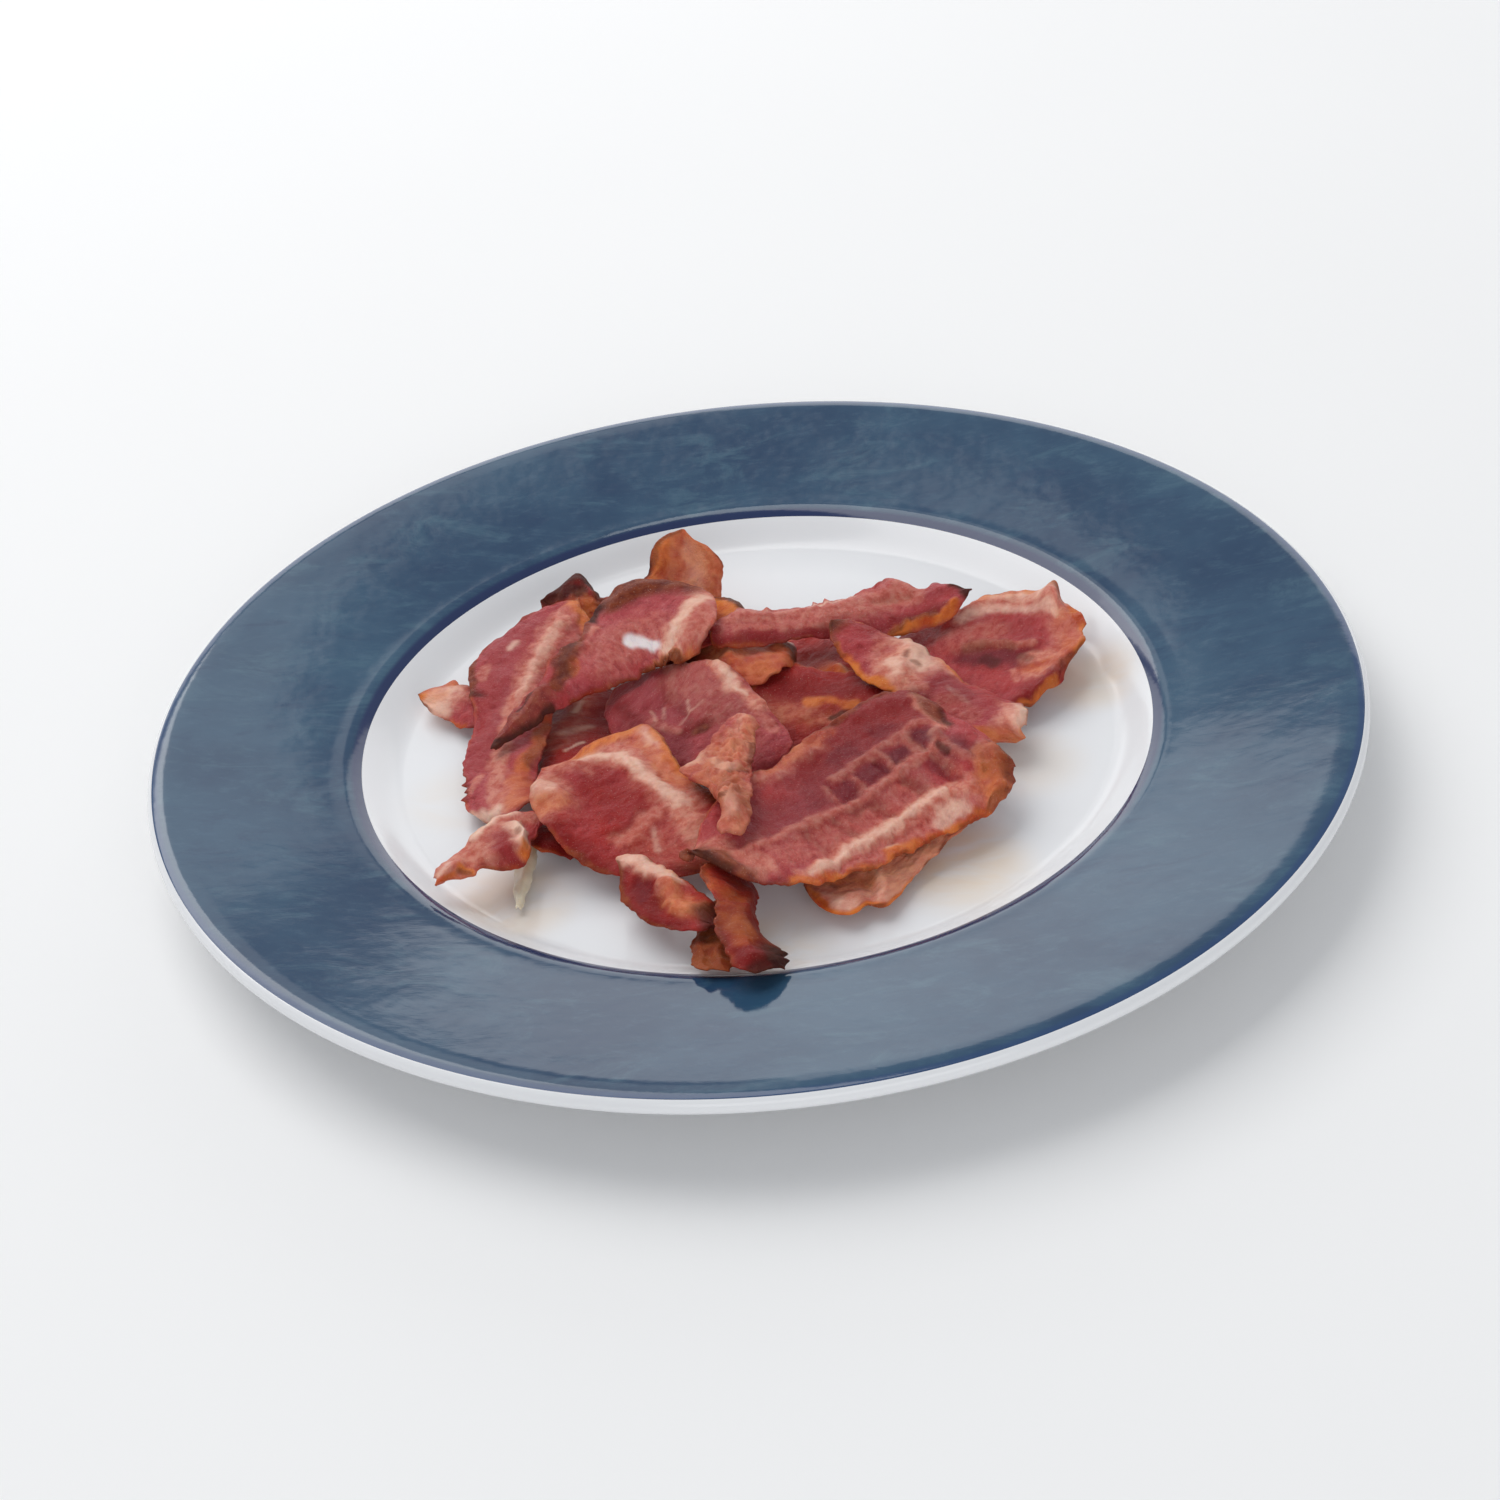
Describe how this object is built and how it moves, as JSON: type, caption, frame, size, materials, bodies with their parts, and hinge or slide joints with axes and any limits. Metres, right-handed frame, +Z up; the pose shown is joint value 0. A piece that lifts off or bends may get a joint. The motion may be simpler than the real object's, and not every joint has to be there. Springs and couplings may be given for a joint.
{
  "type": "plate of fried bacon strips",
  "caption": "Fried bacon strips heaped loosely in the well of a round wide-rimmed dinner plate with a blue glazed rim.",
  "frame": {"origin": "middle of the plate, at the level of its foot ring", "axes": "+Z up, -Y towards the viewer's side of the plate, +X to the right"},
  "size_m": [0.3028, 0.3028, 0.0301],
  "materials": {
    "plate_glaze": "glossy glazed stoneware, white with a sponged blue rim",
    "bacon": "moist fried meat, pink to brown, with orange-brown crisp edges and pale fat",
    "bacon_fat": "translucent pale fat"
  },
  "bodies": {
    "root": {"plate": "plate_glaze", "right_end": "bacon", "left_end": "bacon", "fat_sliver": "bacon_fat", "under_back": "bacon", "middle_low": "bacon", "front_edge": "bacon", "front_scrap": "bacon", "left_inner": "bacon", "curl_tip": "bacon", "back_glossy": "bacon", "back_dark": "bacon", "left_twist": "bacon", "back_long": "bacon", "diagonal": "bacon", "centre": "bacon", "left_long": "bacon", "front_left": "bacon", "top_left": "bacon", "front_curl": "bacon", "front_hook": "bacon", "grill_marked": "bacon", "crumbly": "bacon"}
  },
  "joints": []
}
